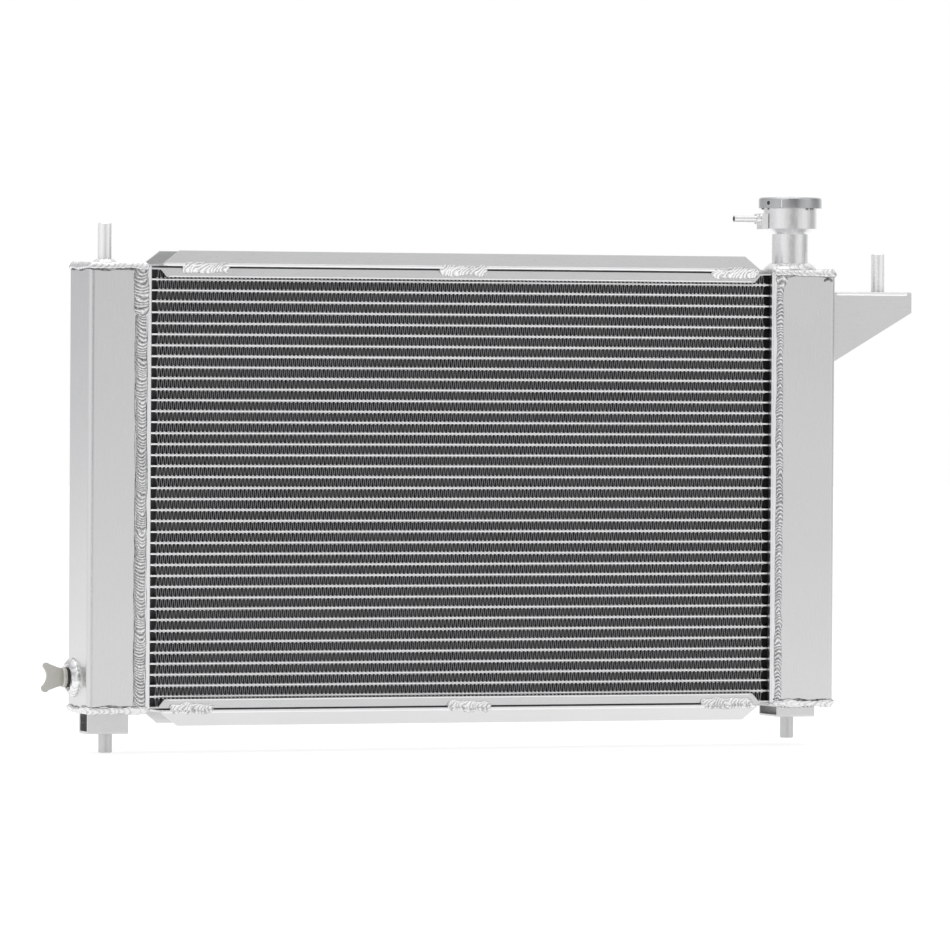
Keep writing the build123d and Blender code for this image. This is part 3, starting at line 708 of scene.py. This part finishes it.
# --------------------------------------------------------------------------
# Weld beads
# --------------------------------------------------------------------------
UP = np.array([0, 0, 1.0])
XP = np.array([1.0, 0, 0])
YP = np.array([0, 1.0, 0])


def line(a, b, n=2):
    return np.linspace(np.asarray(a, float), np.asarray(b, float), n)


def seams():
    # header to tank, front and rear; the crescents arch upwards
    for face, fname in ((-1, "front"), (1, "rear")):
        nor = np.tile(YP * face, (2, 1))
        yf = face * 30.0
        # left: a wide start at the top, then a narrower run
        bead(f"left_{fname}_seam_start", line(P(-318.6, yf, 201.0), P(-318.4, yf, 157.0)), nor, 0.0150, 0.0014,
             pitch=0.0036, ripple=0.0006, seed=11 + face, lag=-1.05, wander=0.0005, crown=0.45, width_noise=0.10,
             cross=19, rough=0.4, vary=0.35, mess=0.6, skew=0.25)
        bead(f"left_{fname}_seam", line(P(-318.3, yf, 160.0), P(-318.3, yf, -199.5)), nor, 0.0112, 0.0012,
             pitch=0.0029, ripple=0.0005, seed=14 + face, lag=-1.15, wander=0.0007, crown=0.45, width_noise=0.10,
             cross=17, rough=0.45, vary=0.35, mess=0.55, skew=0.35)
        # painted shadow: thin dark lines along both toes of the left seam
        for k, (dx, w) in enumerate(((5.7, 0.0011), (-5.7, 0.0010))):
            bead(f"left_{fname}_seam_toe_{k}", line(P(-318.3 + dx, yf, 157.0), P(-318.3 + dx, yf, -199.0)), nor, w,
                 0.00005, pitch=0.006, ripple=0.00002, seed=600 + k + 3 * face, lag=0.2, wander=0.0006,
                 width_noise=0.55, cross=5, sink=0.0002, mats=[painted_shadow])
        bead(f"right_{fname}_seam_start", line(P(312.6, yf, 201.5), P(312.0, yf, 188.5)), nor, 0.0125, 0.0016,
             pitch=0.0062, ripple=0.0006, seed=17 + face, lag=0.7, wander=0.0006, crown=0.5, width_noise=0.15,
             cross=17, rough=0.3)
        bead(f"right_{fname}_seam", line(P(311.0, yf, 191.0), P(311.0, yf, -199.5)), nor, 0.0078, 0.0010,
             pitch=0.0033, ripple=0.0005, seed=20 + face, lag=0.95, wander=0.0006, crown=0.45, width_noise=0.12,
             cross=15, rough=0.45, vary=0.35, mess=0.6)
    # end cap to tank, round the three outer sides
    for side, tname in ((-1, "left"), (1, "right")):
        for end, ename in ((1, "top"), (-1, "bottom")):
            z = 202.2 * end if end > 0 else -202.2
            xo, xi, r = side * 368.0, (-311.0 if side < 0 else 306.0), 5.0
            c1 = P(side * (368.0 - r), -30.0 + r, z)
            c2 = P(side * (368.0 - r), 30.0 - r, z)
            pts = [P(xi, -30.0, z)]
            nor = [-YP]
            for a in np.linspace(0, math.pi / 2, 7):
                d = np.array([side * math.sin(a), -math.cos(a), 0])
                pts.append(c1 + d * r * 0.001)
                nor.append(d)
            for a in np.linspace(0, math.pi / 2, 7):
                d = np.array([side * math.cos(a), math.sin(a), 0])
                pts.append(c2 + d * r * 0.001)
                nor.append(d)
            pts.append(P(xi, 30.0, z))
            nor.append(YP)
            nor = np.array(nor) * 0.86 + UP * end * 0.5
            bead(f"{tname}_{ename}_cap_weld", np.array(pts), nor, 0.0070, 0.0012, pitch=0.0058,
                 ripple=0.00026, seed=31 + side + 5 * end, lag=0.8, wander=0.0009, width_noise=0.28, cross=13,
                 sink=0.0018, rough=0.22, vary=0.4, mess=0.5, mats=[cap_weld_metal])
            # painted shadow: dark line under the bead's toe
            low = np.array(pts) - UP * end * 0.0036
            out = np.array(nor)
            out[:, 2] = 0
            bead(f"{tname}_{ename}_cap_toe_shadow", low, out, 0.0017, 0.00006, pitch=0.0060, ripple=0.00002,
                 seed=71 + side + 5 * end, lag=0.2, wander=0.0011, width_noise=0.75, cross=7, sink=0.0003,
                 mats=[painted_shadow])
            # closing bead along the header's edge
            hx = -309.2 if side < 0 else 304.2
            pts = line(P(hx, -28.5, z), P(hx, 28.5, z))
            nor = np.tile(-XP * side * 0.7 + UP * end * 0.7, (2, 1))
            bead(f"{tname}_{ename}_header_weld", pts, nor, 0.0046, 0.0008, pitch=0.0034, ripple=0.00025,
                 seed=51 + side + 5 * end, lag=0.6, wander=0.0003, width_noise=0.15, cross=9, sink=0.0012)


seams()


def stitches():
    tops = [(-256.2, 45.0), (-5.4, 47.0), (266.0, 48.0)]
    bots = [(-267.6, 42.0), (3.0, 43.0), (260.0, 52.0)]
    k = 0
    for side, group in ((1, tops), (-1, bots)):
        for cx, run in group:
            for face in (-1, 1):
                k += 1
                a = P(cx - run / 2, face * 28.4, side * 200.6)
                b = P(cx + run / 2, face * 28.4, side * 200.6)
                nor = np.tile(YP * face * 0.9 - UP * side * 0.35, (2, 1))
                bead(f"stitch_weld_{k}", line(a, b), nor, 0.0112, 0.0015, pitch=0.0040,
                                   ripple=0.0007, seed=200 + k, lag=1.1, wander=0.0008, width_noise=0.20,
                                   cross=15, sink=0.0022, skew=0.9, rough=0.35, vary=0.35, mess=0.5,
                                   mats=[stitch_metal])
    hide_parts("channel_stitch_welds")


stitches()

# pins, feet, bracket, necks, bung
ring_bead("upper_left_pin_weld", P(-344.0, 0, 203.5), UP, 0.00635, 0.0056, 301, pitch=0.0044, r_noise=0.0008,
          mats=[cap_weld_metal])
ring_bead("filler_base_weld", P(333.2, 0, 203.5), UP, 0.0171, 0.0080, 303, pitch=0.0066, ripple=0.00016,
          r_noise=0.0010, vary=0.45, mess=0.7, rough=0.3, mats=[cap_weld_metal])
ring_bead("inlet_neck_weld", P(-336.5, 30.0, 150.0), YP, 0.015875, 0.0052, 305, r_noise=0.0006)
ring_bead("outlet_neck_weld", P(340.0, 30.0, -150.0), YP, 0.01905, 0.0052, 307, r_noise=0.0006)
ring_bead("drain_bung_weld", P(-368.0, 12.0, -173.0), -XP, 0.0118, 0.0062, 309, pitch=0.0056, ripple=0.00030,
          r_noise=0.0018, vary=0.5, mess=1.0, rough=0.4, mats=[cap_weld_metal])
for k, (y, f) in enumerate(((-12.7, -1), (12.7, 1))):
    bead(f"left_foot_weld_{k}", line(P(-361.0, y + f * 0.6, -204.2), P(-325.0, y + f * 0.6, -204.2)),
         np.tile(YP * f * 0.7 - UP * 0.7, (2, 1)), 0.0052, 0.0010, pitch=0.0036, ripple=0.0003, seed=320 + k,
         sink=0.0012)
for k, (y, f) in enumerate(((-22.0, -1), (22.0, 1))):
    bead(f"right_foot_weld_{k}", line(P(316.0, y + f * 0.6, -204.2), P(350.0, y + f * 0.6, -204.2)),
         np.tile(YP * f * 0.7 - UP * 0.7, (2, 1)), 0.0052, 0.0010, pitch=0.0036, ripple=0.0003, seed=330 + k,
         sink=0.0012)
for k, (y, f) in enumerate(((-20.0, -1), (20.0, 1))):
    bead(f"bracket_weld_{k}", line(P(368.6, y + f * 0.5, 182.5), P(368.6, y + f * 0.5, 119.0)),
         np.tile(YP * f * 0.7 + XP * 0.7, (2, 1)), 0.0040, 0.0007, pitch=0.0032, ripple=0.0002, seed=340 + k,
         sink=0.0010)

def slab(name, a, b, mat):
    """Plain box between two corners given in millimetres."""
    lo_, hi_ = P(*a), P(*b)
    v = [(x, y, z) for x in (lo_[0], hi_[0]) for y in (lo_[1], hi_[1]) for z in (lo_[2], hi_[2])]
    f = [(0, 1, 3, 2), (4, 6, 7, 5), (0, 4, 5, 1), (2, 3, 7, 6), (0, 2, 6, 4), (1, 5, 7, 3)]
    g = mesh_object(name, v, f, [mat], smooth=False)
    fix_normals(g)
    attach(g, "root")
    return g


# painted shadow: dark blocks in the narrow gap between each side plate and its channel stand for the shade there
slab("top_gap_shadow_block", (-292.0, -26.5, 200.45), (285.5, 26.5, 202.05), black_rubber)
slab("bottom_gap_shadow_block", (-292.0, -26.5, -202.05), (285.5, 26.5, -200.45), black_rubber)


def folded_edge(name, a, b, nor, width, height):
    """Rounded outside of a sheet fold, laid along the fold, in a lighter copy of the sheet aluminium: a painted
    highlight on the bend.
    """
    return bead(name, line(a, b), np.tile(nor, (2, 1)), width, height, pitch=0.02, ripple=0.0, seed=9, lag=0.0,
                wander=0.0, rough=0.0, sink=0.0002, cross=9, width_noise=0.0, crown=0.8, mats=[fold_highlight_metal])


for side, tag in ((1, "top"), (-1, "bottom")):
    for face, ftag in ((-1, "front"), (1, "rear")):
        folded_edge(f"{tag}_{ftag}_channel_fold", P(-296.5, face * 30.0, side * 203.6),
                    P(289.5, face * 30.0, side * 203.6), YP * face, 0.0031, 0.00045)
        folded_edge(f"{tag}_{ftag}_plate_edge", P(-291.5, face * 27.0, side * 192.85),
                    P(284.8, face * 27.0, side * 192.85), YP * face, 0.0016, 0.00035)
for face, ftag in ((-1, "front"), (1, "rear")):
    folded_edge(f"bracket_{ftag}_fold", P(371.0, face * 20.0, 182.5), P(446.5, face * 20.0, 182.5),
                YP * face, 0.0036, 0.0005)

# painted shade: a thin dark arc marks the shallow crater where the last cap weld ended
arc = arc3(P(359.5, -30.0, 191.4), 0.0046, math.radians(25), math.radians(150), 14, XP, UP)
bead("tank_weld_crater_shade", arc, np.tile(-YP, (14, 1)), 0.0034, 0.00010, pitch=0.006, ripple=0.00002, seed=400,
     lag=0.2, wander=0.0002, cross=7, sink=0.0003, mats=[painted_shadow])


def cap_details():
    """Drawn cap: domed top with a rolled shoulder, skirt and small tabs under the skirt, with painted marks on the
    skirt: a dark disc for the rivet hole and dark patches under its edge (painted shade), a bright strip along the
    seam (painted highlight).
    """
    c = P(333.2, 0, 0)
    mm = 0.001
    outer = [(29.3, 262.4), (29.6, 262.6), (29.6, 262.9), (29.6, 269.9), (29.58, 270.3), (29.3, 271.4), (28.5, 272.2),
             (27.3, 272.5),
             (24.6, 272.55), (23.2, 272.2), (21.8, 271.6), (14.0, 271.7), (8.0, 272.3), (5.2, 272.2), (2.6, 272.1)]
    inner = [(2.6, 271.3), (8.0, 271.4), (14.0, 270.9), (21.8, 270.8), (24.6, 271.6), (27.3, 271.5), (28.3, 270.9),
             (28.75, 270.0), (28.75, 262.4)]
    o = lathe("cap_top", [(r * mm, h * mm) for r, h in outer + inner], c, UP, [cap_metal], segs=160,
              body="cap", sharp=50)
    # locking tabs turned in under the neck's flange, left and right
    for k, az in enumerate((0.0, math.pi)):
        verts, faces = [], []
        n = 13
        for z in (262.42, 263.7):
            for r in (26.0, 29.2):
                for i in range(n):
                    a = az + math.radians(-21 + 42 * i / (n - 1))
                    verts.append(c + np.array([r * math.cos(a), r * math.sin(a), z]) * mm)
        q = lambda zi, ri, i: (zi * 2 + ri) * n + i
        for i in range(n - 1):
            faces += [(q(0, 0, i), q(0, 0, i + 1), q(0, 1, i + 1), q(0, 1, i)),
                      (q(1, 0, i), q(1, 1, i), q(1, 1, i + 1), q(1, 0, i + 1)),
                      (q(0, 0, i), q(1, 0, i), q(1, 0, i + 1), q(0, 0, i + 1)),
                      (q(0, 1, i), q(0, 1, i + 1), q(1, 1, i + 1), q(1, 1, i))]
        faces += [(q(0, 0, 0), q(0, 1, 0), q(1, 1, 0), q(1, 0, 0)),
                  (q(0, 0, n - 1), q(1, 0, n - 1), q(1, 1, n - 1), q(0, 1, n - 1))]
        t = mesh_object(f"cap_tab_{k}", verts, faces, [cap_metal], smooth=False)
        fix_normals(t)
        add_bevel(t, 0.0003)
        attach(t, "cap")
    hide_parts("cap_shell")

    def on_skirt(name, az_deg, z, w, h, mat, thick=0.12, r0=29.6, segs=20, oval=True):
        a0 = math.radians(az_deg)
        d = np.array([math.sin(a0), -math.cos(a0), 0])
        t = np.array([math.cos(a0), math.sin(a0), 0])
        verts = []
        for off in (-0.5, thick):
            for i in range(segs):
                a = 2 * math.pi * i / segs
                ca, sa = math.cos(a), math.sin(a)
                if not oval:
                    ca = max(-1, min(1, ca * 1.45))
                    sa = max(-1, min(1, sa * 1.45))
                u, v = ca * w / 2, sa * h / 2
                rr = math.sqrt(max(r0 * r0 - u * u, 0)) + off
                verts.append(c + (d * rr + t * u) * mm + UP * (z + v) * mm)
        faces = [tuple(range(segs))[::-1], tuple(range(segs, 2 * segs))]
        faces += [(i, (i + 1) % segs, segs + (i + 1) % segs, segs + i) for i in range(segs)]
        g = mesh_object(name, verts, faces, [mat], smooth=False)
        fix_normals(g)
        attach(g, "cap")
        return g

    # painted shade: the rivet hole is a dark disc laid on the skirt, not cut through it
    on_skirt("cap_side_hole_shade", -66.5, 267.2, 3.8, 3.8, black_rubber, thick=0.06)
    # painted highlight: a thin bright strip on the skirt where the seam catches the light
    on_skirt("cap_seam_highlight", -38.7, 266.6, 0.7, 7.6, cap_seam_highlight_metal, thick=0.05, oval=False)
    # painted shade: dark patches just under the skirt's lower edge
    on_skirt("cap_lug_shade_0", -86.0, 261.9, 4.0, 2.0, painted_shadow, thick=-0.1, r0=29.1, oval=False)
    on_skirt("cap_lug_shade_1", 21.7, 261.9, 4.6, 2.2, painted_shadow, thick=-0.1, r0=29.1, oval=False)


# painted highlight colour for the bright strip on the cap's skirt
cap_seam_highlight_metal = metal("cap_seam_highlight", (0.86, 0.862, 0.866), (0.94, 0.942, 0.945), rough=(0.2, 0.3), grain=(1, 1, 1),
                       grain_scale=900.0, bump=0.05, mottle=80.0)
cap_details()

def coil(name, node, body, radius, wire, low, high, turns):
    """Round wire coil round the filler's axis, carried by its body. Millimetres."""
    c = P(333.2, 0, 0)
    n, m = int(turns * 40) + 1, 12
    verts = []
    rise = (high - low) / (2 * math.pi * turns)
    for i in range(n):
        a = 2 * math.pi * turns * i / (n - 1)
        rad = np.array([math.cos(a), math.sin(a), 0])
        tan = np.array([-math.sin(a) * radius, math.cos(a) * radius, rise])
        tan /= np.linalg.norm(tan)
        up = np.cross(rad, tan)
        mid = rad * radius + UP * (low + (high - low) * i / (n - 1))
        for j in range(m):
            b = 2 * math.pi * j / m
            verts.append(c + (mid + (rad * math.cos(b) + up * math.sin(b)) * wire) * 0.001)
    faces = [(i * m + j, i * m + (j + 1) % m, (i + 1) * m + (j + 1) % m, (i + 1) * m + j)
             for i in range(n - 1) for j in range(m)]
    faces += [tuple(range(m))[::-1], tuple(range((n - 1) * m, n * m))]
    o = mesh_object(name, verts, faces, [spring_metal], smooth=True)
    fix_normals(o)
    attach(o, body)
    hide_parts(node)
    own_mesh(o)
    return o


coil("pressure_coil", "pressure_spring", "cap", 11.8, 0.85, 249.7, 268.1, 5)
coil("vacuum_coil", "vacuum_spring", "pressure_valve", 3.2, 0.35, 249.2, 254.6, 4)

# --------------------------------------------------------------------------
# Floor, light
# --------------------------------------------------------------------------
lo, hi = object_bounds()
floor_z = float(cad_box[0][2]) - 0.0002


def floor():
    m, nt, b = new_mat("floor_paint")
    b.inputs["Roughness"].default_value = 0.9
    tc = nt.nodes.new("ShaderNodeTexCoord")
    n = nt.nodes.new("ShaderNodeTexNoise")
    n.inputs["Scale"].default_value = 3.0
    nt.links.new(tc.outputs["Object"], n.inputs["Vector"])
    ramp = nt.nodes.new("ShaderNodeValToRGB")
    ramp.color_ramp.elements[0].color = (0.46, 0.46, 0.46, 1)
    ramp.color_ramp.elements[1].color = (0.50, 0.50, 0.50, 1)
    nt.links.new(n.outputs["Fac"], ramp.inputs["Fac"])
    nt.links.new(ramp.outputs["Color"], b.inputs["Base Color"])
    b.inputs["Emission Color"].default_value = (1.0, 1.0, 1.0, 1.0)
    b.inputs["Emission Strength"].default_value = 0.62
    s = 14.0
    o = mesh_object("floor", [(-s, -s, floor_z), (s, -s, floor_z), (s, s, floor_z), (-s, s, floor_z)],
                    [(0, 1, 2, 3)], [m], smooth=False)
    o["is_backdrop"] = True
    return o


floor()

world = bpy.data.worlds.new("studio")
scene.world = world
world.use_nodes = True
nt = world.node_tree
for n in list(nt.nodes):
    nt.nodes.remove(n)
wo = nt.nodes.new("ShaderNodeOutputWorld")
bg = nt.nodes.new("ShaderNodeBackground")
nt.links.new(bg.outputs[0], wo.inputs[0])
tc = nt.nodes.new("ShaderNodeTexCoord")
sep = nt.nodes.new("ShaderNodeSeparateXYZ")
nt.links.new(tc.outputs["Generated"], sep.inputs[0])
neg = nt.nodes.new("ShaderNodeMath")
neg.operation = "MULTIPLY"
neg.inputs[1].default_value = -1.0
nt.links.new(sep.outputs["Y"], neg.inputs[0])
turn = nt.nodes.new("ShaderNodeMath")
turn.operation = "ARCTAN2"
nt.links.new(sep.outputs["X"], turn.inputs[0])
nt.links.new(neg.outputs[0], turn.inputs[1])
mr = nt.nodes.new("ShaderNodeMapRange")
mr.inputs["From Min"].default_value = -math.pi
mr.inputs["From Max"].default_value = math.pi
nt.links.new(turn.outputs[0], mr.inputs["Value"])
# brightness round the studio: azimuth in degrees from the front, towards +X
stops = [(-180, 0.92), (-160, 0.58), (-120, 0.66), (-75, 0.90), (-50, 0.80), (-30, 0.50), (-10, 0.22), (4, 0.26),
         (18, 0.70), (50, 0.74), (78, 0.40), (100, 0.46), (128, 1.00), (180, 1.00)]
ramp = nt.nodes.new("ShaderNodeValToRGB")
els = ramp.color_ramp.elements
while len(els) > 1:
    els.remove(els[-1])
for k, (deg, v) in enumerate(stops):
    e = els[0] if k == 0 else els.new((deg + 180) / 360)
    e.position = (deg + 180) / 360
    cool = 1.02 if deg < -60 or deg > 120 else 1.0
    e.color = (v, v, min(v * cool, 1.0), 1)
nt.links.new(mr.outputs["Result"], ramp.inputs["Fac"])
up_mr = nt.nodes.new("ShaderNodeMapRange")
up_mr.inputs["From Min"].default_value = 0.35
up_mr.inputs["From Max"].default_value = 0.80
nt.links.new(sep.outputs["Z"], up_mr.inputs["Value"])
mixw = nt.nodes.new("ShaderNodeMix")
mixw.data_type = "RGBA"
mixw.inputs["B"].default_value = (1.0, 1.0, 1.0, 1.0)
nt.links.new(up_mr.outputs["Result"], mixw.inputs["Factor"])
nt.links.new(ramp.outputs["Color"], mixw.inputs["A"])
nt.links.new(mixw.outputs["Result"], bg.inputs["Color"])
bg.inputs["Strength"].default_value = 1.0


def area(name, loc, target, size, power, colour=(1, 1, 1)):
    d = bpy.data.lights.new(name, "AREA")
    d.shape = "RECTANGLE"
    d.size, d.size_y = size
    d.energy = power
    d.color = colour
    o = bpy.data.objects.new(name, d)
    scene.collection.objects.link(o)
    o.location = loc
    o.rotation_euler = (Vector(target) - Vector(loc)).to_track_quat("-Z", "Y").to_euler()
    return o


area("key", (-2.2, -2.6, 2.6), (0, 0, 0.2), (1.6, 1.6), 5.0)
area("fill", (2.8, -2.4, 1.6), (0, 0, 0.2), (1.8, 1.8), 3.0)
area("top", (0.0, 0.3, 3.0), (0, 0, 0.2), (2.4, 1.6), 16.0)

scene.view_settings.view_transform = "Standard"
scene.view_settings.look = "None"
scene.view_settings.exposure = 0.0
